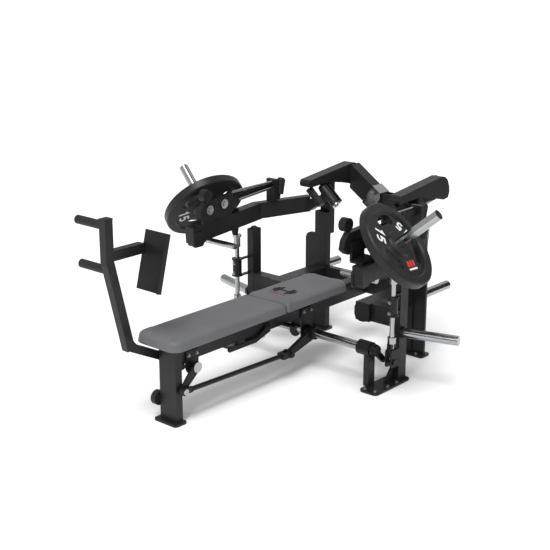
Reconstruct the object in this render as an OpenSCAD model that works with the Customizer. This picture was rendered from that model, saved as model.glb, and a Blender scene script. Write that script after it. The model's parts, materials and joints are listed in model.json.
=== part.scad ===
// Lying chest press machine with two independent, inclined press arms and a
// foot lever that lifts both arms off their stops.
// X runs from the foot end to the rear of the machine, Y is across it, Z is up.
// The origin is on the floor, under the centre of the foot-end leg.
// Parts named right_ are on the +Y side and parts named left_ are their mirror images.

/* [Bench] */
// Height of the top of the pads
pad_top = 445; // [430:1:455]
// Thickness of the pads
pad_thick = 57; // [50:1:57]
// Width of the pads
pad_w = 288; // [260:1:300]
// How far the long pad reaches in front of the leg
pad_overhang = 105; // [90:1:107]
// Length of the long pad
long_pad_l = 767; // [700:1:780]
// Length of the head pad
head_pad_l = 508; // [460:1:515]
// Corner radius of the pads
pad_corner = 62; // [40:1:80]

/* [Frame] */
// Height of the bench rail
rail_h = 95; // [90:1:95]
// Width of the bench rail
rail_w = 60; // [56:1:60]
// Wall of the frame tubes
wall = 4; // [3:0.5:5]
// Distance of the outer posts from the centre plane
post_y = 493; // [490:1:495]
// Height of the outer posts
post_h = 616; // [600:1:620]
// Distance of the rear columns from the centre plane
column_y = 295; // [293:1:297]
// Height of the rear columns
column_h = 690; // [670:1:692]

/* [Press arms] */
// Height of the arm beams
beam_h = 90; // [84:1:92]
// Diameter of the weight plates
plate_d = 450; // [400:10:450]
// Thickness of the weight plates
plate_t = 48; // [40:1:50]
// Turn of the right plate on its horn, in degrees
right_plate_turn = 56; // [0:1:120]
// Diameter of the handles
handle_d = 32; // [28:1:36]

/* [Foot lever] */
// Length of the foot grips
grip_l = 167; // [120:1:180]
// Width of the foot plate
foot_plate_w = 155; // [140:1:160]

/* [Hidden] */
$fn = 48;
fit = 0.05;
rail_z = 283;
rail_top = rail_z + rail_h;
pad_z = pad_top - pad_thick;
head_pad_x = -pad_overhang + long_pad_l + 4;
plate_z = [3, 12];
pad_board_in = 30;

// Leg, posts, columns and mast
leg = [40, 108];
post = [64, 44];
post_x = 1083;
column = [36, 84];
column_x = 1452;
collar = [104, 754];
mast = [60, 100];
mast_x = 1684;

// Arm pivot and arm frame
tilt = 41;
pivot = [1450, 250, 800];
axle_r = 15;
bush_r = 19;
sleeve_r = 27;
sleeve_y = [-66, 40];
beam_y = 550;
horn_r = 25;
horn_start = [-598, 188, -262];
horn_yaw = 9.8;
horn_l = 351;
plate_at = 86;

// Linkage, all as [x, z]
lever_pin = [105, 255];
tail_pin = [11, 165];
shaft = [935, 203];
lever_end = [744, 141];
crank_pin = [1007, 136];
link_y = -76;
shaft_r = 22.5;
rod_x = 1007;
rod_y = 521;
rod_r = 12.5;
pin_r = 9;
knee = [-172, 396];
bend = [-277, 812];
lever_y = 80;

// ---- Helpers ----

// The children on the +Y side (side = 1) or mirrored to the -Y side (side = -1)
module on_side(side) {
    mirror([0, side < 0 ? 1 : 0, 0]) children();
}

module both_sides() {
    on_side(1) children();
    on_side(-1) children();
}

// Frame of the right arm: y outwards along the pivot axis, z along the arm's lift
module arm_frame() {
    translate(pivot) rotate([tilt, 0, 0]) children();
}

// Frame of the right weight horn: z outwards along the horn
module horn_frame() {
    arm_frame() translate(horn_start) rotate([0, 0, -horn_yaw]) rotate([-90, 0, 0]) children();
}

// Cylinder along Y at [x, z], between two y values
module bar_y(at, r, y0, y1) {
    translate([at[0], y0, at[1]]) rotate([-90, 0, 0]) cylinder(r = r, h = y1 - y0);
}

// Cylinder between two points
module bar_between(a, b, r) {
    run = b - a;
    translate(a) rotate([0, acos(run[2] / norm(run)), atan2(run[1], run[0])])
        cylinder(r = r, h = norm(run));
}

// Box from corner to corner
module block(a, b) {
    translate(a) cube(b - a);
}

// Box tube from corner to corner, open along one axis
module box_tube(a, b, axis) {
    gap = [for (i = [0:2]) i == axis ? -1 : wall];
    difference() {
        block(a, b);
        block(a + gap, b - gap);
    }
}

// Square bar in the X-Z plane between [x, z] points, centred on y = 0
module square_bar(a, b, height, thick) {
    run = b - a;
    translate([a[0], 0, a[1]]) rotate([0, -atan2(run[1], run[0]), 0])
        translate([0, -thick / 2, -height / 2]) cube([norm(run), thick, height]);
}

// Outline of a bar between two points
module bar_2d(a, b, height) {
    run = b - a;
    translate(a) rotate(atan2(run[1], run[0]))
        translate([0, -height / 2]) square([norm(run), height]);
}

// Plate with the outline of the children in X-Z, between two y values
module plate_xz(y0, y1) {
    translate([0, y1, 0]) rotate([90, 0, 0]) linear_extrude(y1 - y0) children();
}

// Rectangle from the origin with round corners
module round_rect(size, r) {
    translate([r, 0]) square([size[0] - 2 * r, size[1]]);
    translate([0, r]) square([size[0], size[1] - 2 * r]);
    for (x = [r, size[0] - r], y = [r, size[1] - r]) translate([x, y]) circle(r);
}

// Points of an arc, without its two ends
function arc(centre, r, from, to) =
    [for (i = [1:11]) let (a = from + (to - from) * i / 12) centre + r * [cos(a), sin(a)]];

// Hexagon bolt head along +Z, with its washer
module bolt_head(r) {
    cylinder(r = r * 1.6, h = 2);
    cylinder(r = r * 1.05, h = 9, $fn = 6);
}

// ---- Bench and fixed frame ----

module front_leg() {
    color("#3a3a3c") {
        box_tube([-leg[0] / 2, -leg[1] / 2, plate_z[1]],
            [leg[0] / 2, leg[1] / 2, rail_top], 2);
        translate([-48, -75, plate_z[0]]) linear_extrude(9) round_rect([78, 150], 16);
    }
}

module seat_rail() {
    color("#3a3a3c") box_tube([leg[0] / 2, -rail_w / 2, rail_z], [mast_x, rail_w / 2, rail_top], 0);
}

module pad_boards() {
    color("#202022") for (pad = [[-pad_overhang, long_pad_l], [head_pad_x, head_pad_l]])
        translate([pad[0] + pad_board_in, -pad_w / 2 + pad_board_in, rail_top])
            linear_extrude(pad_z - rail_top - 0.4)
                round_rect([pad[1] - 2 * pad_board_in, pad_w - 2 * pad_board_in], 30);
}

// Pad with round corners at its front end only
module pad_shape(l) {
    translate([pad_corner, 0]) square([l - pad_corner, pad_w]);
    translate([0, pad_corner]) square([pad_corner, pad_w - 2 * pad_corner]);
    for (y = [pad_corner, pad_w - pad_corner]) translate([pad_corner, y]) circle(pad_corner);
}

module long_pad() {
    color("#67686b") translate([-pad_overhang, -pad_w / 2, pad_z])
        linear_extrude(pad_thick) pad_shape(long_pad_l);
}

module head_pad() {
    color("#67686b") translate([head_pad_x + head_pad_l, pad_w / 2, pad_z])
        linear_extrude(pad_thick) rotate(180) pad_shape(head_pad_l);
}

// Plates that carry the foot lever's axle, on both sides of the rail
module lever_brackets() {
    color("#2e2e30") both_sides() difference() {
        plate_xz(rail_w / 2, rail_w / 2 + 8) {
            translate([lever_pin[0] - 40, 262]) square([80, 70]);
            translate(lever_pin) circle(40);
        }
        bar_y(lever_pin, 12 + fit, 0, 60);
    }
}

// Plates that carry the middle of the torsion shaft
module shaft_bracket() {
    color("#2e2e30") both_sides() difference() {
        plate_xz(rail_w / 2, rail_w / 2 + 8) {
            translate([shaft[0] - 45, 205]) square([90, 125]);
            translate(shaft) circle(45);
        }
        bar_y(shaft, shaft_r + fit, 0, 60);
    }
}

// Hand lever that hangs under the rail on its own bracket
module under_rail_lever() {
    color("#2e2e30") plate_xz(-46, -38) {
        translate([350, 262]) circle(11);
        translate([350, 251]) square([190, 22]);
        polygon([[536, 251], [640, 283], [640, 312], [612, 312], [536, 273]]);
    }
    color("#2e2e30") block([606, -40, 290], [644, -rail_w / 2, 322]);
}

// Rubber stop of the bell crank on a tab under the rail
module crank_stop() {
    color("#2e2e30") block([756, -92, rail_z - 8], [792, rail_w / 2, rail_z]);
}

module crank_bumper() {
    color("#1b1b1c") translate([774, link_y, rail_z - 32]) cylinder(r = 15, h = 24);
}

module leg_roller() {
    color("#1b1b1c") {
        bar_y([-14, 104], 14, leg[1] / 2 + 0.2, 92);
        bar_y([-14, 104], 35, leg[1] / 2 + 5, 88);
    }
}

// Outer post on its base plate, with the small post of the torsion shaft
module post_frame() {
    color("#3a3a3c") {
        box_tube([post_x, post_y - post[1] / 2, plate_z[1]],
            [post_x + post[0], post_y + post[1] / 2, plate_z[1] + post_h], 2);
        translate([855, 437, plate_z[0]]) linear_extrude(9) round_rect([297, 108], 22);
        block([910, 424, plate_z[1]], [960, 456, 165.5]);
        translate([0, 0, -1]) plate_xz(480, 488) polygon([[1000, 13], [1083, 13], [1083, 110]]);
    }
}

module post_cap() {
    color("#1b1b1c") translate([post_x + post[0] / 2, post_y, plate_z[1] + post_h])
        cylinder(r1 = 20, r2 = 14, h = 10);
}

// Bearing housing of the torsion shaft on the small post
module shaft_bearing() {
    color("#2e2e30") difference() {
        union() {
            bar_y(shaft, 37, 380, 456);
            block([shaft[0] - 24, 424, 165.6], [shaft[0] + 24, 456, 190]);
        }
        bar_y(shaft, shaft_r + fit, 370, 470);
    }
}

// Guide block of the push rod, held to the post by two flanges
module guide_block() {
    color("#3a3a3c") difference() {
        union() {
            translate([rod_x, rod_y, 374]) cylinder(r = 25, h = 100);
            for (z = [374, 466]) {
                translate([rod_x, rod_y, z]) cylinder(r = 30, h = 8);
                block([rod_x, 496, z], [post_x, 517, z + 8]);
            }
        }
        translate([rod_x, rod_y, 300]) cylinder(r = rod_r + fit, h = 200);
    }
}

// Side tube and its stub to the post
module side_frame() {
    color("#3a3a3c") {
        block([1066, 250, rail_z], [column_x, 336, rail_top]);
        block([post_x + 1, 330, rail_z + 1], [post_x + 63, post_y - post[1] / 2, rail_top - 1]);
        translate([1061, 246, 0]) rotate([90, 0, 90]) linear_extrude(7)
            translate([0, rail_z - 4]) round_rect([94, rail_h + 8], 40);
    }
}

module rear_crossbeam() {
    color("#3a3a3c") both_sides()
        box_tube([column_x, rail_w / 2, rail_z],
            [column_x + column[0], column_y - column[1] / 2, rail_top], 1);
}

// Rear column with its foot flange and outer gusset plate
module column_frame() {
    y0 = column_y - column[1] / 2;
    y1 = column_y + column[1] / 2;
    color("#3a3a3c") {
        box_tube([column_x, y0, plate_z[1]],
            [column_x + column[0], y1, plate_z[1] + column_h - 12], 2);
        translate([column_x - 22, y0 - 14, plate_z[0]]) linear_extrude(9)
            round_rect([80, 184], 16);
        translate([column_x + 10, 0, 0]) rotate([90, 0, 90]) linear_extrude(14) {
            translate([y1, plate_z[1]]) square([36, 546]);
            translate([y1, plate_z[1]]) square([75, 507]);
            translate([y1 + 36, 519]) circle(39);
        }
    }
}

// Strut from the column up to the head box, and the tie plate in front of the pivot
module head_strut() {
    color("#3a3a3c") {
        block([column_x + 36, 262, 560], [column_x + 80, 328, 862]);
        arm_frame() translate([-126, -62, -11]) cube([40, 118, 22]);
    }
}

// Box over the column, deeper to the rear, with a round front end
module head_box() {
    color("#3a3a3c") plate_xz(265, 331) {
        polygon([[1330, 892], [1700, 935], [1730, 929], [1756, 908], [1772, 872], [1776, 840],
            [1764, 812], [1722, 806], [1600, 836], [1480, 858], [1330, 850]]);
        translate([1330, 871]) circle(21.5);
    }
}

// Sloping tubes from the mast up to the head boxes
module yoke_outline(grow) {
    polygon([[mast[1] / 2, 650 - grow], [265, 794 - grow], [265, 927 + grow],
        [256, 927 + grow], [mast[1] / 2, 786 + grow]]);
}

module yoke_tubes() {
    color("#3a3a3c") both_sides() translate([1672, 0, 0]) rotate([90, 0, 90])
        linear_extrude(76) yoke_outline(0);
}

// Plated collars round the lower ends of the yoke tubes
module yoke_collars() {
    color("#b9bcc0") both_sides() difference() {
        translate([1666, 0, 0]) rotate([90, 0, 90]) linear_extrude(88) intersection() {
            yoke_outline(7);
            translate(collar) rotate(34) translate([-40, -150]) square([80, 300]);
        }
        translate([1671.9, 0, 0]) rotate([90, 0, 90]) linear_extrude(76.2) yoke_outline(0.1);
    }
}

module rear_mast() {
    color("#3a3a3c") box_tube([mast_x, -mast[1] / 2, rail_z],
        [mast_x + mast[0], mast[1] / 2, 790], 2);
}

// U bracket that holds the arm's axle, in front of the strut
module pivot_bracket() {
    color("#2e2e30") arm_frame() {
        difference() {
            union() for (y = [-80, 44]) {
                translate([0, y, 0]) rotate([-90, 0, 0]) cylinder(r = 24, h = 10);
                translate([0, y, -24]) cube([36, 10, 48]);
            }
            translate([0, -90, 0]) rotate([-90, 0, 0]) cylinder(r = axle_r + fit, h = 160);
        }
        translate([30, -80, -24]) cube([7.8, 134, 48]);
    }
}

module pivot_axle() {
    color("#b9bcc0") arm_frame() translate([0, -88, 0]) rotate([-90, 0, 0]) {
        cylinder(r = axle_r, h = 148);
        cylinder(r = 23, h = 7.5);
        translate([0, 0, -7]) cylinder(r = 11, h = 8, $fn = 6);
    }
}

// Storage horn on the post, leaning to the rear
module storage_horn() {
    color("#b9bcc0") translate([1106, post_y + post[1] / 2 - 2, 261]) rotate([0, 0, -15.7])
        rotate([-90, 0, 0]) {
            translate([0, 0, 16]) cylinder(r = horn_r, h = 278);
        }
}

module horn_socket() {
    color("#3a3a3c") difference() {
        translate([1106, post_y + post[1] / 2 - 2, 261]) rotate([0, 0, -15.7])
            rotate([-90, 0, 0]) translate([0, 0, -16]) cylinder(r = 29, h = 31.9);
        block([1000, 400, 200], [1200, post_y + post[1] / 2, 320]);
    }
}

module rear_horn() {
    color("#b9bcc0") translate([column_x + 24, 376, 338]) rotate([0, 90, 0]) {
        cylinder(r = 34, h = 10);
        cylinder(r = horn_r, h = 244);
    }
}

// Bolts of the base plates, the post flanges and the pad boards
module frame_bolts() {
    color("#8d9094") both_sides() {
        for (y = [460, 522]) translate([878, y, plate_z[1]]) bolt_head(8);
        for (x = [975, 1052]) translate([x, 527, plate_z[1]]) bolt_head(8);
        for (z = [392, 448]) translate([rod_x - 25, rod_y, z]) rotate([0, -90, 0]) bolt_head(6);
        translate([column_x - 7, 376, plate_z[1]]) bolt_head(7);
        for (x = [lever_pin[0] - 26, lever_pin[0] + 26, shaft[0] - 28, shaft[0] + 28])
            translate([x, rail_w / 2 + 8, 312]) rotate([-90, 0, 0]) bolt_head(5);
    }
}

module floor_pads() {
    color("#1b1b1c") {
        translate([-44, -71, 0]) linear_extrude(3) round_rect([70, 142], 14);
        both_sides() {
            translate([860, 442, 0]) linear_extrude(3) round_rect([287, 98], 20);
            translate([1434, 243, 0]) linear_extrude(3) round_rect([72, 176], 14);
        }
    }
}

// ---- Foot lever and linkage ----

module lever_arm() {
    color("#3a3a3c") difference() {
        union() {
            plate_xz(lever_y - 20, lever_y + 20) {
                translate(lever_pin) circle(25);
                bar_2d(lever_pin, knee, 40);
                bar_2d(knee - [4, 10], bend + [2, -6], 44);
                bar_2d(bend - [0, 12], [bend[0], 1001], 44);
                bar_2d([bend[0] + 10, 840], [-78.5, 840], 46);
            }
            plate_xz(lever_y - 5, lever_y + 5)
                polygon([[-196, 474], [-186, 400], [-112, 360], [-100, 358], [-172, 446]]);
        }
        bar_y(lever_pin, 12 + fit, 0, 150);
    }
}

// Tail plate on the near side, which pushes the connecting rod
module tail_plate() {
    color("#2e2e30") difference() {
        plate_xz(-66, -58) hull() {
            translate(lever_pin) circle(27);
            translate(tail_pin) circle(17);
        }
        bar_y(lever_pin, 12 + fit, -80, 0);
        bar_y(tail_pin, pin_r + fit, -80, 0);
    }
}

module lever_axle() {
    color("#b9bcc0") {
        bar_y(lever_pin, 12, -71, 107);
        bar_y(lever_pin, 26, -74, -66.2);
        bar_y(lever_pin, 22, 100.2, 108);
    }
}

module tail_bolt() {
    color("#b9bcc0") {
        bar_y(tail_pin, pin_r, -90, -57);
        bar_y(tail_pin, 15, -92, -84.3);
    }
}

module foot_plate() {
    a = [-48, 919];
    b = [-115, 660];
    y0 = -75;
    color("#444446") {
        translate([0, y0 + foot_plate_w / 2, 0]) square_bar(b, a, 6, foot_plate_w);
        translate([-10, y0 + 3, 3]) square_bar(b, a, 24, 6);
        plate_xz(63, 79) polygon([[-78.2, 819], [-78.2, 861], [-62, 861], [-72, 819]]);
    }
}

module lever_grips() {
    color("#1b1b1c") {
        for (at = [[-267, 773], [-277, 975]])
            bar_y(at, 20, lever_y + 20, lever_y + 20 + grip_l);
        block([bend[0] - 23, lever_y - 21, 1001], [bend[0] + 23, lever_y + 21, 1009]);
    }
}

// Rod from the foot lever to the bell crank, with an eye and a fork
module connecting_rod() {
    run = lever_end - tail_pin;
    color("#3a3a3c") translate([tail_pin[0], link_y, tail_pin[1]])
        rotate([0, -atan2(run[1], run[0]), 0]) difference() {
            union() {
                bar_y([0, 0], 20, -8, 8);
                translate([10, -8, -13]) cube([40, 16, 26]);
                translate([45, 0, 0]) rotate([0, 90, 0]) cylinder(r = 12, h = norm(run) - 95);
                translate([norm(run) - 62, -22, -15]) cube([24, 44, 30]);
                for (y = [-22, 14]) {
                    translate([norm(run) - 40, y, -15]) cube([40, 8, 30]);
                    bar_y([norm(run), 0], 19, y, y + 8);
                }
            }
            bar_y([0, 0], pin_r + fit, -20, 20);
            bar_y([norm(run), 0], 10.8, -40, 40);
        }
}

module torsion_shaft() {
    color("#b9bcc0") bar_y(shaft, shaft_r, -484, 484);
}

// Bell crank with its hub and the pin that carries the connecting rod's fork
module bell_crank() {
    color("#2e2e30") difference() {
        union() {
            bar_y(shaft, 34, link_y - 24, -40);
            plate_xz(link_y - 9, link_y + 9) hull() {
                translate(shaft) circle(33);
                translate(lever_end) circle(17);
            }
        }
        bar_y(shaft, shaft_r + fit, -200, 0);
    }
    color("#b9bcc0") {
        bar_y(lever_end, 8, link_y - 27, link_y + 27);
        for (y = [link_y - 30, link_y + 25]) bar_y(lever_end, 15, y, y + 5);
    }
}

module crank_arm() {
    color("#2e2e30") difference() {
        plate_xz(462, 478) {
            translate(shaft) circle(31);
            translate(crank_pin) circle(16);
            translate(shaft) rotate(atan2(crank_pin[1] - shaft[1], crank_pin[0] - shaft[0]))
                translate([0, -15]) square([norm(crank_pin - shaft), 30]);
        }
        bar_y(shaft, shaft_r + fit, 400, 500);
    }
    color("#b9bcc0") {
        bar_y(crank_pin, pin_r, 476, 546);
        bar_y(crank_pin, 15, 542, 548);
        bar_y(shaft, 27, 484.2, 491);
    }
}

// Push rod with its slotted lower fork, collar and top head
module push_rod() {
    color("#b9bcc0") translate([rod_x, rod_y, 0]) {
        translate([0, 0, 200]) cylinder(r = rod_r, h = 380);
        translate([0, 0, 232]) cylinder(r = 21, h = 32);
        translate([0, 0, 540]) cylinder(r = 19, h = 58);
        translate([0, 0, 596]) cylinder(r = 25, h = 12);
    }
}

module push_rod_fork() {
    color("#2e2e30") {
        difference() {
            for (y = [rod_y - 19, rod_y + 11]) plate_xz(y, y + 8)
                translate([rod_x - 26, 108]) round_rect([78, 92], 12);
            block([rod_x, 480, 136 - 10.6], [rod_x + 17, 560, 136 + 10.6]);
            for (x = [rod_x, rod_x + 17]) bar_y([x, 136], 10.6, 480, 560);
        }
        difference() {
            block([rod_x - 22, rod_y - 12, 184], [rod_x + 22, rod_y + 12, 232]);
            translate([rod_x, rod_y, 199.9]) cylinder(r = rod_r + fit, h = 40);
        }
    }
}

// ---- Press arms, drawn on the right side ----

// Bush on the axle, turned by the lift
module pivot_bush() {
    color("#8f7a3c") arm_frame() translate([0, sleeve_y[0] - 3, 0]) rotate([-90, 0, 0])
        difference() {
            cylinder(r = bush_r, h = sleeve_y[1] - sleeve_y[0] + 6);
            translate([0, 0, -1]) cylinder(r = axle_r + fit, h = 200);
        }
}

// Sleeve round the bush
module arm_hinge() {
    color("#3a3a3c") arm_frame() translate([0, sleeve_y[0], 0]) rotate([-90, 0, 0])
        difference() {
            cylinder(r = sleeve_r, h = sleeve_y[1] - sleeve_y[0]);
            translate([0, 0, -1]) cylinder(r = bush_r + fit, h = 200);
        }
}

// Lug from the sleeve down to the arm tube
module arm_lug() {
    color("#3a3a3c") arm_frame() difference() {
        translate([-22, 0, 0]) rotate([90, 0, 90]) linear_extrude(44)
            polygon([[-40, -12], [10, -12], [52, -108], [84, -146], [48, -188], [8, -156],
                [0, -118]]);
        translate([0, -100, 0]) rotate([-90, 0, 0]) cylinder(r = sleeve_r + fit, h = 200);
    }
}

// Level tube from the lug out to the beam, then the beam down to the front
module beam_body() {
    color("#3a3a3c") {
        translate([0, beam_y, 0]) square_bar([676, 659.3], [1204, 701.1], beam_h, 60);
        translate([1186, 558.6, 0]) rotate(atan2(-160, 260))
            plate_xz(-25, 25) polygon([[0, 656], [0, 746], [322, 768], [322, 680]]);
    }
}

// Corner plate under the front end of the beam
module front_plate() {
    color("#3a3a3c") {
        plate_xz(514, 526) {
            translate([672, 598]) round_rect([76, 80], 16);
            polygon([[740, 606], [790, 640], [740, 660]]);
        }
        plate_xz(524, 574) polygon([[677, 630], [740, 630], [736, 604], [690, 600]]);
    }
}

module handle() {
    color("#b9bcc0") {
        bar_y([815, 608.4], handle_d / 2, 356, 560);
        bar_y([815, 608.4], handle_d / 2 - 3, 350, 357);
    }
}

// Slab beside the beam that ends the guide rods, and the bracket of their rear end
module carriage() {
    color("#2e2e30") {
        plate_xz(450, 482) polygon([[657, 772], [668, 816], [697, 849], [879, 862], [945, 832],
            [958, 812], [877, 749], [690, 746]]);
        block([706, 479, 714], [804, 492, 798]);
        translate([0, 523, 0]) square_bar([700, 712.8], [812, 721.7], 12, 74);
        bar_y([704, 884], 33, 436, 474);
        block([693, 456, 838], [715, 470, 880]);
        block([1238, 450, 753.9], [1262, 512, 884]);
    }
}

// Guide rods with the washers of the slab
module guide_rods() {
    color("#b9bcc0") {
        bar_between([962, 468, 816], [1236.8, 468, 838], 8);
        bar_between([900.5, 468, 866], [1236.8, 468, 869], 8);
        for (at = [[726, 805], [834, 820]]) {
            bar_y(at, 25, 443, 449.8);
            bar_y(at, 12, 437, 444);
        }
        for (z = [838, 869]) translate([1262.2, 468, z]) rotate([0, 90, 0]) cylinder(r = 11, h = 12);
    }
}

module link_bar() {
    color("#3a3a3c") {
        plate_xz(479, 487) polygon([[940, 818], [940, 846], [1239, 868], [1239, 842]]);
        plate_xz(452, 481) polygon([[878, 850], [878, 861], [900, 878], [900, 850]]);
    }
}

module arm_knob() {
    color("#1b1b1c") translate([1292, 472, 759.8]) rotate([0, 13, 0]) {
        cylinder(r = 10, h = 34);
        translate([0, 0, 32]) cylinder(r = 24, h = 80);
        translate([0, 0, 112]) cylinder(r1 = 24, r2 = 15, h = 11);
    }
}

module weight_horn() {
    color("#b9bcc0") horn_frame() {
        translate([0, 0, 4]) cylinder(r = horn_r, h = horn_l - 4);
        translate([0, 0, 33.5]) cylinder(r = 45, h = plate_at - plate_t / 2 - 34.5);
    }
}

// Socket of the weight horn on the beam
module horn_foot() {
    color("#3a3a3c") horn_frame() translate([0, 0, -26]) cylinder(r = 33, h = 59.4);
}

// Rubber cone under the beam, which rests on the push rod
module arm_bumper() {
    color("#1b1b1c") translate([rod_x, rod_y + 14, 608.6]) cylinder(r1 = 16, r2 = 21, h = 29.4);
}

module weight_plate(turn) {
    color("#232324") horn_frame() translate([0, 0, plate_at - plate_t / 2 - 0.5]) rotate(turn)
        difference() {
        rotate_extrude($fn = 96) polygon([[horn_r + 0.08, 0], [horn_r + 0.08, plate_t],
            [62, plate_t], [70, plate_t - 8], [176, plate_t - 8], [184, plate_t],
            [plate_d / 2 - 6, plate_t], [plate_d / 2, plate_t - 6], [plate_d / 2, 6],
            [plate_d / 2 - 6, 0], [184, 0], [176, 8], [70, 8], [62, 0]]);
        for (a = [30, 150, 270]) rotate(a) translate([0, 0, -1]) linear_extrude(plate_t + 2)
            polygon(concat(arc([0, 0], 160, -17, 17), arc(135 * [cos(17), sin(17)], 25, 17, 197),
                arc([0, 0], 110, 17, -17), arc(135 * [cos(17), -sin(17)], 25, 163, 343)));
    }
}

// ---- Nodes made of the parts above ----

module frame_bumpers() {
    crank_bumper();
    leg_roller();
    both_sides() post_cap();
}

module shaft_bearings() {
    both_sides() shaft_bearing();
}

module guide_blocks() {
    both_sides() guide_block();
}

module head_boxes() {
    both_sides() {
        head_strut();
        head_box();
    }
}

module pivot_brackets() {
    both_sides() pivot_bracket();
}

module pivot_axles() {
    both_sides() pivot_axle();
}

module storage_horns() {
    both_sides() {
        storage_horn();
        rear_horn();
    }
}

module crank_arms() {
    both_sides() crank_arm();
}

module lever_pins() {
    lever_axle();
    tail_bolt();
}

module rail_brackets() {
    shaft_bracket();
    crank_stop();
}

module right_post() {
    post_frame();
    horn_socket();
}

module left_post() {
    on_side(-1) right_post();
}

module right_side_tube() {
    side_frame();
}

module left_side_tube() {
    on_side(-1) side_frame();
}

module right_column() {
    column_frame();
}

module left_column() {
    on_side(-1) column_frame();
}

module right_push_rod() {
    push_rod();
}

module left_push_rod() {
    on_side(-1) push_rod();
}

module right_rod_fork() {
    push_rod_fork();
}

module left_rod_fork() {
    on_side(-1) push_rod_fork();
}

module right_bush() {
    pivot_bush();
}

module left_bush() {
    on_side(-1) pivot_bush();
}

module right_arm_hinge() {
    arm_hinge();
}

module left_arm_hinge() {
    on_side(-1) arm_hinge();
}

module right_arm_beam() {
    difference() {
        union() {
            beam_body();
            arm_lug();
            front_plate();
            horn_foot();
        }
        horn_frame() translate([0, 0, 3.9]) cylinder(r = horn_r + fit, h = 100);
    }
}

module left_arm_beam() {
    on_side(-1) right_arm_beam();
}

module right_handle() {
    handle();
}

module left_handle() {
    on_side(-1) handle();
}

module right_carriage() {
    carriage();
    link_bar();
}

module left_carriage() {
    on_side(-1) right_carriage();
}

module right_guide_rods() {
    guide_rods();
}

module left_guide_rods() {
    on_side(-1) guide_rods();
}

module right_weight_horn() {
    weight_horn();
}

module left_weight_horn() {
    on_side(-1) weight_horn();
}

module right_arm_rubbers() {
    arm_bumper();
    arm_knob();
}

module left_arm_rubbers() {
    on_side(-1) right_arm_rubbers();
}

module right_weight_plate() {
    weight_plate(right_plate_turn);
}

module left_weight_plate() {
    on_side(-1) weight_plate(0);
}

front_leg();
seat_rail();
pad_boards();
long_pad();
head_pad();
lever_brackets();
rail_brackets();
under_rail_lever();
frame_bumpers();
right_post();
left_post();
shaft_bearings();
guide_blocks();
right_side_tube();
left_side_tube();
rear_crossbeam();
right_column();
left_column();
head_boxes();
yoke_tubes();
yoke_collars();
rear_mast();
pivot_brackets();
pivot_axles();
storage_horns();
frame_bolts();
floor_pads();
lever_arm();
tail_plate();
lever_pins();
foot_plate();
lever_grips();
connecting_rod();
torsion_shaft();
bell_crank();
crank_arms();
right_push_rod();
left_push_rod();
right_rod_fork();
left_rod_fork();
right_bush();
left_bush();
right_arm_hinge();
left_arm_hinge();
right_arm_beam();
left_arm_beam();
right_carriage();
left_carriage();
right_guide_rods();
left_guide_rods();
right_handle();
left_handle();
right_weight_horn();
left_weight_horn();
right_arm_rubbers();
left_arm_rubbers();
right_weight_plate();
left_weight_plate();
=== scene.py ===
"""Looks for the lying chest press machine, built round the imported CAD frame."""

import json
import math

import bpy
import bmesh
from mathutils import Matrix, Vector
from mathutils.bvhtree import BVHTree


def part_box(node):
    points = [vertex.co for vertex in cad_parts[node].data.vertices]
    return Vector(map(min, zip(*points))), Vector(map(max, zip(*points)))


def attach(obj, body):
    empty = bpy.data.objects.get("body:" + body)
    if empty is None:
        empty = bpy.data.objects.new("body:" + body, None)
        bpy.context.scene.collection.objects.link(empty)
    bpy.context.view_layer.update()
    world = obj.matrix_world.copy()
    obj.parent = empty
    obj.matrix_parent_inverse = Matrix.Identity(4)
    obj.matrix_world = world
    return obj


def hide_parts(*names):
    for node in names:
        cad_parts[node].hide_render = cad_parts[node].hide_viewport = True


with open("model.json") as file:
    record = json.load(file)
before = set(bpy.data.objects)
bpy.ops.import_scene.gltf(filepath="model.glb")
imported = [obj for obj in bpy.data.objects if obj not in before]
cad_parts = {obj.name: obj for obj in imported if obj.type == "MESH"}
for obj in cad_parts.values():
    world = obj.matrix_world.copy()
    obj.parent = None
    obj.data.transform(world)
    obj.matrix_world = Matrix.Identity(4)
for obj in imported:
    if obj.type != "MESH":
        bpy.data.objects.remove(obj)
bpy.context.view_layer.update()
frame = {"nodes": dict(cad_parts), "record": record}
NODES = frame["nodes"]
RECORD_BODIES = frame["record"]["behaviour"]["bodies"]
BODY_OF = {n: b for b, members in RECORD_BODIES.items() for n in members}


# ---------------------------------------------------------------- materials

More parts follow.
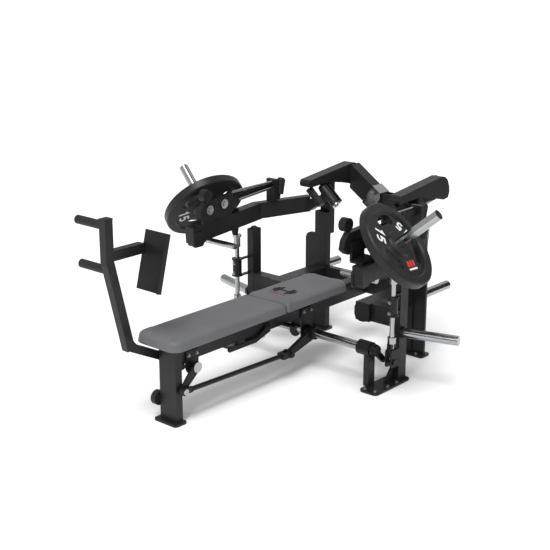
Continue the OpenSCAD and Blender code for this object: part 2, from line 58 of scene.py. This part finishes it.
class Mat:
    """A node material: short calls that add and link nodes."""

    def __init__(self, name):
        self.mat = bpy.data.materials.new(name)
        self.mat.use_nodes = True
        self.tree = self.mat.node_tree
        self.bsdf = next(n for n in self.tree.nodes if n.type == "BSDF_PRINCIPLED")
        self.coord = self.tree.nodes.new("ShaderNodeTexCoord").outputs["Object"]

    def node(self, kind, links):
        made = self.tree.nodes.new(kind)
        for key, source in links.items():
            self.tree.links.new(source, made.inputs[key])
        return made

    def scaled(self, x, y, z, rotation=(0, 0, 0)):
        made = self.node("ShaderNodeMapping", {"Vector": self.coord})
        made.inputs["Scale"].default_value = (x, y, z)
        made.inputs["Rotation"].default_value = rotation
        return made.outputs["Vector"]

    def noise(self, scale, detail=3.0, rough=0.5, vector=None):
        made = self.node("ShaderNodeTexNoise", {"Vector": vector or self.coord})
        made.inputs["Scale"].default_value = scale
        made.inputs["Detail"].default_value = detail
        made.inputs["Roughness"].default_value = rough
        return made.outputs["Fac"]

    def cells(self, scale, feature="DISTANCE_TO_EDGE"):
        made = self.node("ShaderNodeTexVoronoi", {"Vector": self.coord})
        made.feature = feature
        made.inputs["Scale"].default_value = scale
        return made.outputs["Distance"]

    def ramp(self, fac, stops):
        made = self.node("ShaderNodeValToRGB", {"Fac": fac})
        while len(made.color_ramp.elements) < len(stops):
            made.color_ramp.elements.new(0.5)
        for element, (place, colour) in zip(made.color_ramp.elements, stops):
            element.position = place
            element.color = (*colour, 1)
        return made.outputs["Color"]

    def span(self, fac, low, high, start=0.3, end=0.7):
        made = self.node("ShaderNodeMapRange", {"Value": fac})
        for key, value in (("From Min", start), ("From Max", end), ("To Min", low), ("To Max", high)):
            made.inputs[key].default_value = value
        return made.outputs["Result"]

    def mix(self, fac, a, b):
        made = self.tree.nodes.new("ShaderNodeMix")
        made.data_type = "RGBA"
        for socket, value in ((made.inputs[0], fac), (made.inputs[6], a), (made.inputs[7], b)):
            if hasattr(value, "links"):
                self.tree.links.new(value, socket)
            else:
                socket.default_value = (*value, 1)
        return made.outputs[2]

    def bump(self, *layers):
        """Each layer is (height, strength, distance); they stack."""
        normal = None
        for height, strength, distance in layers:
            made = self.node("ShaderNodeBump", {"Height": height})
            made.inputs["Strength"].default_value = strength
            made.inputs["Distance"].default_value = distance
            if normal is not None:
                self.tree.links.new(normal, made.inputs["Normal"])
            normal = made.outputs["Normal"]
        self.tree.links.new(normal, self.bsdf.inputs["Normal"])

    def set(self, **values):
        for key, value in values.items():
            socket = self.bsdf.inputs[key.replace("_", " ")]
            if hasattr(value, "links"):
                self.tree.links.new(value, socket)
            else:
                socket.default_value = value


def shade(colour, k):
    """The same colour, k times as bright."""
    return tuple(c * k for c in colour)


def paint(name, colour, rough, peel=0.10):
    """Powder coat: orange peel, faint mottling, dust and rubbed patches."""
    m = Mat(name)
    cloud = m.noise(5.0, 4.0, 0.6)
    base = m.ramp(cloud, [(0.30, shade(colour, 0.86)), (0.70, shade(colour, 1.14))])
    scuff = m.noise(26.0, 6.0, 0.68, m.scaled(1, 1.8, 0.7))
    base = m.mix(m.span(scuff, 0.0, 0.30, 0.60, 0.76), base, shade(colour, 1.7))
    speck = m.noise(1500.0, 1.0)
    base = m.mix(m.span(speck, 0.0, 0.16, 0.56, 0.70), base, shade(colour, 1.9))
    m.set(Base_Color=base, Roughness=m.span(scuff, rough - 0.05, rough + 0.09, 0.35, 0.72))
    m.set(Specular_IOR_Level=0.22)
    m.bump((m.noise(420.0, 2.0), peel, 0.0006), (m.noise(1700.0, 2.0), peel * 0.8, 0.0002))
    return m.mat


def chrome(name, colour, rough, stretch):
    """Plated steel: long polishing lines, faint haze and fingerprints."""
    m = Mat(name)
    lines = m.noise(240.0, 3.0, 0.6, m.scaled(*stretch))
    haze = m.noise(18.0, 5.0, 0.62)
    base = m.ramp(haze, [(0.30, shade(colour, 0.90)), (0.72, colour)])
    base = m.mix(m.span(lines, 0.0, 0.22, 0.50, 0.78), base, shade(colour, 0.72))
    m.set(Base_Color=base, Metallic=1.0)
    m.set(Roughness=m.span(haze, rough, rough + 0.12, 0.38, 0.74))
    m.bump((lines, 0.05, 0.0003), (m.noise(900.0, 2.0), 0.03, 0.0001))
    return m.mat


def rubber(name, colour, rough, grain=650.0):
    """Moulded rubber: fine pebble, dusty bloom and darker handled patches."""
    m = Mat(name)
    bloom = m.noise(11.0, 5.0, 0.6)
    base = m.ramp(bloom, [(0.30, shade(colour, 0.82)), (0.72, shade(colour, 1.30))])
    fleck = m.noise(1300.0, 1.0)
    base = m.mix(m.span(fleck, 0.0, 0.25, 0.60, 0.74), base, shade(colour, 2.2))
    m.set(Base_Color=base, Roughness=m.span(bloom, rough - 0.06, rough + 0.08, 0.35, 0.7))
    m.set(Specular_IOR_Level=0.26)
    m.bump((m.cells(grain, "F1"), 0.16, 0.0003), (m.noise(220.0, 3.0), 0.10, 0.0005))
    return m.mat


def leatherette(name, colour):
    """Grained upholstery vinyl: cell grain with creases between, soft sheen; the creases carry painted
    shade and the cell middles painted highlight.
    """
    m = Mat(name)
    warp = m.noise(160.0, 3.0)
    grain = m.cells(520.0, "F1")
    crease_relief_and_shade = m.cells(300.0)
    tone = m.noise(7.0, 4.0, 0.6)
    base = m.ramp(tone, [(0.30, shade(colour, 0.90)), (0.72, shade(colour, 1.10))])
    # Painted shade: the colour darkens in the creases between grain cells.
    base = m.mix(m.span(crease_relief_and_shade, 0.42, 0.0, 0.0, 0.10), base, shade(colour, 0.60))
    # Painted highlight: the colour lightens towards the middle of each grain cell.
    base = m.mix(m.span(grain, 0.30, 0.0, 0.0, 0.45), base, shade(colour, 1.35))
    m.set(Base_Color=base, Roughness=m.span(tone, 0.50, 0.62, 0.35, 0.7))
    m.set(Sheen_Weight=0.06, Sheen_Roughness=0.5, Specular_IOR_Level=0.30)
    m.bump((crease_relief_and_shade, 0.30, 0.0005), (grain, 0.22, 0.0004), (warp, 0.12, 0.0006))
    return m.mat


def plywood(name, colour):
    """Stained board with long grain."""
    m = Mat(name)
    grain = m.noise(60.0, 5.0, 0.6, m.scaled(0.15, 4.0, 4.0))
    base = m.ramp(grain, [(0.30, shade(colour, 0.7)), (0.70, shade(colour, 1.3))])
    m.set(Base_Color=base, Roughness=m.span(grain, 0.55, 0.72))
    m.bump((grain, 0.25, 0.0006))
    return m.mat


def print_ink(name, colour):
    """Slightly worn print."""
    m = Mat(name)
    fade = m.noise(90.0, 5.0, 0.65)
    base = m.ramp(fade, [(0.28, shade(colour, 0.80)), (0.60, colour)])
    m.set(Base_Color=base, Roughness=m.span(fade, 0.45, 0.62))
    m.bump((m.noise(800.0, 2.0), 0.10, 0.0002))
    return m.mat


def embroidery(name, colour):
    """Satin stitch: close parallel rows of thread, with painted shade between the rows and painted
    highlight on their crowns.
    """
    m = Mat(name)
    wave = m.node("ShaderNodeTexWave", {"Vector": m.scaled(1, 1, 1, (0, 0, 0.6))})
    wave.inputs["Scale"].default_value = 420.0
    wave.inputs["Distortion"].default_value = 1.2
    thread_relief_and_shade = wave.outputs["Fac"]
    # Painted shade and highlight: the colour runs from darker between the rows of thread to lighter on
    # their crowns.
    base = m.ramp(thread_relief_and_shade, [(0.15, shade(colour, 0.55)), (0.75, shade(colour, 1.4))])
    m.set(Base_Color=base, Roughness=0.80)
    m.bump((thread_relief_and_shade, 0.5, 0.0005))
    return m.mat


SLOT_MATS = {
    "frame_paint": paint("frame_paint", (0.0125, 0.0125, 0.0131), 0.36),
    "bracket_paint": paint("bracket_paint", (0.0088, 0.0088, 0.0092), 0.40, 0.14),
    "chrome_steel": chrome("chrome_steel", (0.40, 0.405, 0.415), 0.15, (1, 0.06, 1)),
    "bolt_steel": chrome("bolt_steel", (0.36, 0.365, 0.375), 0.30, (1, 1, 1)),
    "black_rubber": rubber("black_rubber", (0.011, 0.011, 0.0115), 0.55),
    "plate_rubber": rubber("plate_rubber", (0.0105, 0.0105, 0.0109), 0.38, 480.0),
    "leatherette": leatherette("leatherette", (0.104, 0.105, 0.109)),
    "board": plywood("board", (0.030, 0.026, 0.022)),
    "bronze": chrome("bronze", (0.50, 0.36, 0.16), 0.28, (1, 1, 1)),
}
WHITE_INK = print_ink("white_ink", (0.80, 0.80, 0.79))
RED_INK = print_ink("red_ink", (0.52, 0.035, 0.015))
THREAD = embroidery("emblem_thread", (0.006, 0.006, 0.0065))
RED_THREAD = embroidery("red_thread", (0.22, 0.012, 0.010))


# ---------------------------------------------------------------- CAD nodes

SLOT_OF = {s["node"]: s["material_slot"] for s in frame["record"]["subparts"]}
USUAL_BEVEL_MM = 1.5
BEVEL_MM = {
    "front_leg": 9, "seat_rail": 9, "right_side_tube": 9, "left_side_tube": 9,
    "rear_crossbeam": 7, "right_column": 6, "left_column": 6, "head_boxes": 9,
    "yoke_tubes": 9, "rear_mast": 9, "right_arm_beam": 8, "left_arm_beam": 8,
    "lever_arm": 6, "right_post": 6, "left_post": 6, "guide_blocks": 4,
    "right_carriage": 4, "left_carriage": 4, "right_weight_plate": 2.5,
    "left_weight_plate": 2.5, "lever_grips": 3, "foot_plate": 1.5,
    "storage_horns": 2, "right_weight_horn": 2, "left_weight_horn": 2,
}

for name, ob in NODES.items():
    ob.data.materials.clear()
    ob.data.materials.append(SLOT_MATS[SLOT_OF[name]])
    bevel = ob.modifiers.new("edges", "BEVEL")
    bevel.width = BEVEL_MM.get(name, USUAL_BEVEL_MM) / 1000
    bevel.segments = 3
    bevel.limit_method = "ANGLE"
    bevel.angle_limit = math.radians(35)


# ---------------------------------------------------------------- helpers

def link(ob):
    bpy.context.scene.collection.objects.link(ob)
    return ob


def mesh_object(name, bm, mat):
    """A linked object from bm, which is freed."""
    data = bpy.data.meshes.new(name)
    bm.normal_update()
    bm.to_mesh(data)
    bm.free()
    data.materials.append(mat)
    return link(bpy.data.objects.new(name, data))


def evaluated_mesh(ob, name):
    """A new object from ob with its modifiers applied; ob is removed."""
    graph = bpy.context.evaluated_depsgraph_get()
    data = bpy.data.meshes.new_from_object(ob.evaluated_get(graph), depsgraph=graph)
    data.name = name
    made = bpy.data.objects.new(name, data)
    made.matrix_world = ob.matrix_world.copy()
    bpy.data.objects.remove(ob)
    return link(made)


# ---------------------------------------------------------------- cushions

# Metres
SKIN_ROOM = 0.0035        # from a free side of the CAD pad to the cushion before it swells
BUTT_ROOM = 0.0008        # the same at the end where the two cushions meet
TOP_ROOM = 0.0045
BASE_ROOM = 0.0005
TOP_EDGE_R = 0.022
ROUND_CORNER_R = 0.060
SQUARE_CORNER_R = 0.012
LEAST_R = 0.002
CORNER_STEPS = 12
EDGE_STEPS = 6
VOXEL = 0.006
HELD_HEIGHT = 0.008       # the skin is held up to here over the pad's base
SWELL_CAP = 0.0055
CLOTH_FRAMES = 20
KEEP_IN = (0.0004, 0.0002, 0.0002)


def cushion(node, name, round_at_low_x):
    """Firm foam pad: flat base, rounded top edge, cloth skin blown up by a few millimetres."""
    lo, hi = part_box(node)
    room_low, room_high = (SKIN_ROOM, BUTT_ROOM) if round_at_low_x else (BUTT_ROOM, SKIN_ROOM)
    x0, x1 = lo.x + room_low, hi.x - room_high
    y0, y1 = lo.y + SKIN_ROOM, hi.y - SKIN_ROOM

    def outline(shrink):
        """The pad seen from above, drawn in by a distance."""
        pts = []
        corners = [(x0, y0, 180), (x1, y0, 270), (x1, y1, 0), (x0, y1, 90)]
        for cx, cy, a0 in corners:
            at_round_end = (cx == x0) == round_at_low_x
            r = ROUND_CORNER_R if at_round_end else SQUARE_CORNER_R
            r = max(r - shrink, LEAST_R)
            sx = 1 if cx == x0 else -1
            sy = 1 if cy == y0 else -1
            ox, oy = cx + sx * (r + shrink), cy + sy * (r + shrink)
            for i in range(CORNER_STEPS + 1):
                a = math.radians(a0 + 90 * i / CORNER_STEPS)
                pts.append((ox + r * math.cos(a), oy + r * math.sin(a)))
        return pts

    shoulder = hi.z - TOP_ROOM - TOP_EDGE_R
    levels = [(0.0, lo.z + BASE_ROOM), (0.0, shoulder)]
    for i in range(1, EDGE_STEPS + 1):
        a = math.radians(90 * i / EDGE_STEPS)
        levels.append((TOP_EDGE_R * (1 - math.cos(a)), shoulder + TOP_EDGE_R * math.sin(a)))
    bm = bmesh.new()
    rings = [[bm.verts.new((x, y, z)) for x, y in outline(s)] for s, z in levels]
    n = len(rings[0])
    for a, b in zip(rings, rings[1:]):
        for i in range(n):
            bm.faces.new((a[i], a[(i + 1) % n], b[(i + 1) % n], b[i]))
    bm.faces.new(list(reversed(rings[0])))
    bm.faces.new(rings[-1])
    ob = mesh_object(name + "_start", bm, SLOT_MATS["leatherette"])
    remesh = ob.modifiers.new("remesh", "REMESH")
    remesh.mode = "VOXEL"
    remesh.voxel_size = VOXEL
    ob = evaluated_mesh(ob, name)
    rest = [v.co.copy() for v in ob.data.vertices]
    group = ob.vertex_groups.new(name="held")
    group.add([i for i, c in enumerate(rest) if c.z < lo.z + HELD_HEIGHT], 1.0, "REPLACE")
    cloth = ob.modifiers.new("cloth", "CLOTH")
    cs = cloth.settings
    cs.quality = 6
    cs.mass = 0.3
    cs.tension_stiffness = cs.compression_stiffness = 18
    cs.shear_stiffness = 12
    cs.bending_stiffness = 1.5
    cs.use_pressure = True
    cs.uniform_pressure_force = 4
    cs.effector_weights.gravity = 0
    cs.vertex_group_mass = "held"
    cloth.point_cache.frame_start, cloth.point_cache.frame_end = 1, CLOTH_FRAMES
    for f in range(1, CLOTH_FRAMES + 1):
        bpy.context.scene.frame_set(f)
    ob = evaluated_mesh(ob, name)
    bpy.context.scene.frame_set(1)
    for v, r in zip(ob.data.vertices, rest):
        move = v.co - r
        if move.length > SWELL_CAP:
            move *= SWELL_CAP / move.length
        v.co = r + move
    for v in ob.data.vertices:
        for k, inside in enumerate(KEEP_IN):
            v.co[k] = min(max(v.co[k], lo[k] + inside), hi[k] - inside)
    soft = ob.modifiers.new("relax", "SMOOTH")
    soft.factor, soft.iterations = 0.5, 6
    sub = ob.modifiers.new("finer", "SUBSURF")
    sub.levels = sub.render_levels = 1
    ob = evaluated_mesh(ob, name)
    for poly in ob.data.polygons:
        poly.use_smooth = True
    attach(ob, BODY_OF[node])
    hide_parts(node)
    return ob


cushion("long_pad", "long_cushion", True)
head_cushion = cushion("head_pad", "head_cushion", False)


# ---------------------------------------------------------------- printed and sewn detail

STROKE_LOW = -0.0004      # m, a stroke's lower and upper face over its surface
STROKE_HIGH = 0.0007
SHARPEST_MITRE = 0.35


def ribbon(bm, points, width, place):
    """Flat raised stroke along 2-D points; place maps (x, y, height) to the model."""
    pts = [Vector(p) for p in points]
    rings = []
    for i, here in enumerate(pts):
        before, after = pts[max(i - 1, 0)], pts[min(i + 1, len(pts) - 1)]
        into = (here - before).normalized() if i else (after - here).normalized()
        out = (after - here).normalized() if after != here else into
        along = (into + out).normalized()
        normal = Vector((-along.y, along.x))
        spread = width / 2 / max(SHARPEST_MITRE, along.dot(into))
        a, b = here + normal * spread, here - normal * spread
        corners = ((a, STROKE_LOW), (a, STROKE_HIGH), (b, STROKE_HIGH), (b, STROKE_LOW))
        rings.append([bm.verts.new(place(p.x, p.y, h)) for p, h in corners])
    for a, b in zip(rings, rings[1:]):
        for k in range(4):
            bm.faces.new((a[k], a[(k + 1) % 4], b[(k + 1) % 4], b[k]))
    bm.faces.new(rings[0])
    bm.faces.new(list(reversed(rings[-1])))


def arc2(cx, cy, r, a0, a1, steps=10):
    """Points of an arc, from a0 to a1 degrees."""
    return [(cx + r * math.cos(math.radians(a0 + (a1 - a0) * i / steps)),
             cy + r * math.sin(math.radians(a0 + (a1 - a0) * i / steps))) for i in range(steps + 1)]


# Strokes of the numerals on a cell 1 high and about 0.6 wide
DIGITS = {
    "1": [[(-0.20, 0.30), (0.06, 0.50), (0.06, -0.50)]],
    "5": [[(0.28, 0.44), (-0.20, 0.44), (-0.24, 0.06)] + arc2(0.0, -0.17, 0.27, 128, -140)],
}


def finish_strokes(bm, name, mat, body):
    """Turns drawn strokes into a piece that rides on a body."""
    bmesh.ops.recalc_face_normals(bm, faces=bm.faces)
    ob = mesh_object(name, bm, mat)
    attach(ob, body)
    return ob


PLATE_TURN = {"right": 56, "left": 0}   # degrees, each plate's turn on its horn
PLATE_HALF = 0.024                      # m, half the plate's thickness at its rim
WEB_DEPTH = 0.008                       # m, the numbered web lies this far below the rim
NUMERAL_H = 0.054
NUMERAL_PITCH = 0.047
NUMERAL_STROKE = 0.0105
NUMERAL_SLANT = 0.16
NUMERAL_RADIUS = 0.128                  # m, from the plate's axis
PRINT_ANGLES = (90, 210, 330)
MARK_ANGLE = 90
MARK_RADIUS = 0.120
OUTER, INNER = 1, -1
BLANK = ((OUTER, MARK_ANGLE), (INNER, 210))   # places with no numeral
JOINTS = {j["name"]: j for j in frame["record"]["behaviour"]["joints"]}


def plate_prints(side):
    """Numerals between the slots on both faces of a plate, and a small striped mark on its outer face."""
    node = side + "_weight_plate"
    lo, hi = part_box(node)
    centre = (Vector(lo) + Vector(hi)) / 2
    joint = JOINTS["plate_" + side + "_slide"]
    horn = Vector(joint["axis"]).normalized()
    pivot = Vector(JOINTS["press_" + side + "_pivot"]["axis"]).normalized()
    lift = Vector((1, 0, 0)).cross(pivot) * (1 if side == "right" else -1)
    lift = lift if lift.z > 0 else -lift
    down = -lift
    along = horn.cross(lift) if side == "right" else lift.cross(horn)
    along.normalize()
    web = PLATE_HALF - WEB_DEPTH
    turn = PLATE_TURN[side]
    digits, red, white = bmesh.new(), bmesh.new(), bmesh.new()

    def spot(angle, radius, face):
        """Placing function for a print with its top towards the plate's axis."""
        a = math.radians(angle + turn)
        out = along * math.cos(a) + down * math.sin(a)
        normal = horn * face
        up = -out
        right = up.cross(normal).normalized()
        at = centre + out * radius + normal * web
        return lambda x, y, h: at + right * x + up * y + normal * h

    for face in (OUTER, INNER):
        for angle in PRINT_ANGLES:
            if (face, angle) in BLANK:
                continue
            place = spot(angle, NUMERAL_RADIUS, face)
            for k, digit in enumerate("15"):
                start = (k - 0.5) * NUMERAL_PITCH
                for stroke in DIGITS[digit]:
                    pts = [(NUMERAL_H * (x + NUMERAL_SLANT * y) + start, NUMERAL_H * y) for x, y in stroke]
                    ribbon(digits, pts, NUMERAL_STROKE, place)
    place = spot(MARK_ANGLE, MARK_RADIUS, OUTER)
    for k in range(3):
        ribbon(red, [(-0.034 + 0.026 * k, -0.004), (-0.018 + 0.026 * k, 0.026)], 0.016, place)
    ribbon(white, [(-0.040, -0.017), (0.036, -0.017)], 0.009, place)
    body = BODY_OF[node]
    finish_strokes(digits, side + "_plate_numerals", WHITE_INK, body)
    finish_strokes(red, side + "_plate_mark", RED_INK, body)
    finish_strokes(white, side + "_plate_mark_bar", WHITE_INK, body)


for side in ("right", "left"):
    plate_prints(side)


EMBLEM_RAISE = 0.0007     # m, over the cushion's skin
EMBLEM_FROM_EDGE = 0.135  # m, from the head cushion's inner end
BAR_HALF = 0.070
# Distance of a weight's middle from the bar's, half its height, its width
EMBLEM_WEIGHTS = ((0.034, 0.040, 0.017), (0.054, 0.029, 0.014))
DASH_Y = -0.058
DASH_PITCH = 0.022


def surface_drop(ob):
    """Height of the top of a cushion at a place, by dropping a ray on it."""
    tree = BVHTree.FromObject(ob, bpy.context.evaluated_depsgraph_get())
    pad_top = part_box("head_pad")[1].z
    start = pad_top + 0.05

    def height(x, y):
        hit = tree.ray_cast(Vector((x, y, start)), Vector((0, 0, -1)))[0]
        return hit.z if hit else pad_top
    return height


def pad_emblem():
    """Barbell badge sewn into the head cushion, with a short red stripe."""
    lo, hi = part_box("head_pad")
    height = surface_drop(head_cushion)
    cx, cy = lo.x + EMBLEM_FROM_EDGE, (lo.y + hi.y) / 2

    def place(x, y, h):
        px, py = cx + y, cy - x
        return Vector((px, py, height(px, py) + h + EMBLEM_RAISE))

    dark, red = bmesh.new(), bmesh.new()
    ribbon(dark, [(-BAR_HALF + 0.0045 * i, 0) for i in range(32)], 0.012, place)
    for s in (-1, 1):
        for off, tall, wide in EMBLEM_WEIGHTS:
            ribbon(dark, [(s * off, -tall + 2 * tall * i / 10) for i in range(11)], wide, place)
    for k in range(5):
        x0 = -0.050 + DASH_PITCH * k
        ribbon(red, [(x0 + 0.004 * i, DASH_Y) for i in range(4)], 0.008, place)
    finish_strokes(dark, "pad_emblem", THREAD, "frame")
    finish_strokes(red, "pad_emblem_stripe", RED_THREAD, "frame")


pad_emblem()


# ---------------------------------------------------------------- stage

FLOOR_HALF = 70           # m
FLOOR_GAP = 0.0005        # m, under the foot pads
SKY = 0.72
SUN_ENERGY = 2.3
SUN_ANGLE = 28            # degrees, wide so that its shadows are soft
SUN_WAY = (0.42, 0.22, -1.0)
CAMERA_PLACE = (-3.272, -3.507, 2.156)
CAMERA_WAY = (0.7195, 0.6310, -0.2900)
LENS = 73.05              # mm on a 36 mm sensor


def area_light(name, place, target, size, power):
    """Rectangular lamp at a place, turned to its target."""
    lamp = bpy.data.lights.new(name, "AREA")
    lamp.shape = "RECTANGLE"
    lamp.size, lamp.size_y = size
    lamp.energy = power
    ob = link(bpy.data.objects.new(name, lamp))
    ob.location = place
    ob.rotation_euler = (Vector(target) - Vector(place)).to_track_quat("-Z", "Y").to_euler()


def glossy_flag(name, place, target, size):
    """Dark card that only shows in reflections, so that plated parts get their dark bands."""
    bm = bmesh.new()
    bmesh.ops.create_grid(bm, x_segments=1, y_segments=1, size=0.5)
    ob = mesh_object(name, bm, FLAG)
    ob.scale = (size[0], size[1], 1)
    ob.location = place
    ob.rotation_euler = (Vector(target) - Vector(place)).to_track_quat("Z", "Y").to_euler()
    ob.visible_camera = ob.visible_diffuse = ob.visible_shadow = False
    ob.visible_transmission = ob.visible_volume_scatter = False


world = bpy.data.worlds.new("studio")
bpy.context.scene.world = world
world.use_nodes = True
world.node_tree.nodes["Background"].inputs[0].default_value = (1, 1, 1, 1)
world.node_tree.nodes["Background"].inputs[1].default_value = SKY
sun_data = bpy.data.lights.new("sun", "SUN")
sun_data.energy = SUN_ENERGY
sun_data.angle = math.radians(SUN_ANGLE)
sun = link(bpy.data.objects.new("sun", sun_data))
sun.rotation_euler = Vector(SUN_WAY).to_track_quat("-Z", "Y").to_euler()
area_light("strip", (-2.6, -1.2, 2.6), (0.6, 0, 0.5), (0.5, 3.0), 45)

def matt(name, scale, detail, dark, light):
    """Dull grey with faint mottling between two levels."""
    m = Mat(name)
    mottle = m.noise(scale, detail)
    m.set(Base_Color=m.ramp(mottle, [(0.3, (dark,) * 3), (0.7, (light,) * 3)]), Roughness=0.9)
    return m


FLAG = matt("flag_card", 1.0, 3.0, 0.02, 0.03).mat
glossy_flag("flag_left", (-3.4, -0.6, 1.0), (0.8, 0, 0.5), (2.2, 2.4))
glossy_flag("flag_front", (1.7, -3.6, 1.2), (0.9, 0, 0.5), (1.6, 2.0))
glossy_flag("flag_back", (1.9, 3.4, 1.0), (0.8, 0, 0.5), (2.4, 1.8))
glossy_flag("flag_top", (0.9, 0.6, 3.0), (0.9, 0, 0.5), (1.2, 3.0))
glossy_flag("flag_right", (3.6, -1.6, 1.2), (0.9, 0, 0.5), (1.8, 2.4))

bm = bmesh.new()
bmesh.ops.create_grid(bm, x_segments=2, y_segments=2, size=FLOOR_HALF)
floor_mat = matt("floor_paint", 3.0, 4.0, 0.87, 0.88)
floor_mat.set(Specular_IOR_Level=0.2)
floor = mesh_object("floor", bm, floor_mat.mat)
floor.location.z = -FLOOR_GAP

cam_data = bpy.data.cameras.new("camera")
cam_data.lens = LENS
cam_data.sensor_width = 36
camera = link(bpy.data.objects.new("camera", cam_data))
camera.location = CAMERA_PLACE
camera.rotation_euler = Vector(CAMERA_WAY).to_track_quat("-Z", "Y").to_euler()
bpy.context.scene.camera = camera
bpy.context.scene.view_settings.view_transform = "Standard"
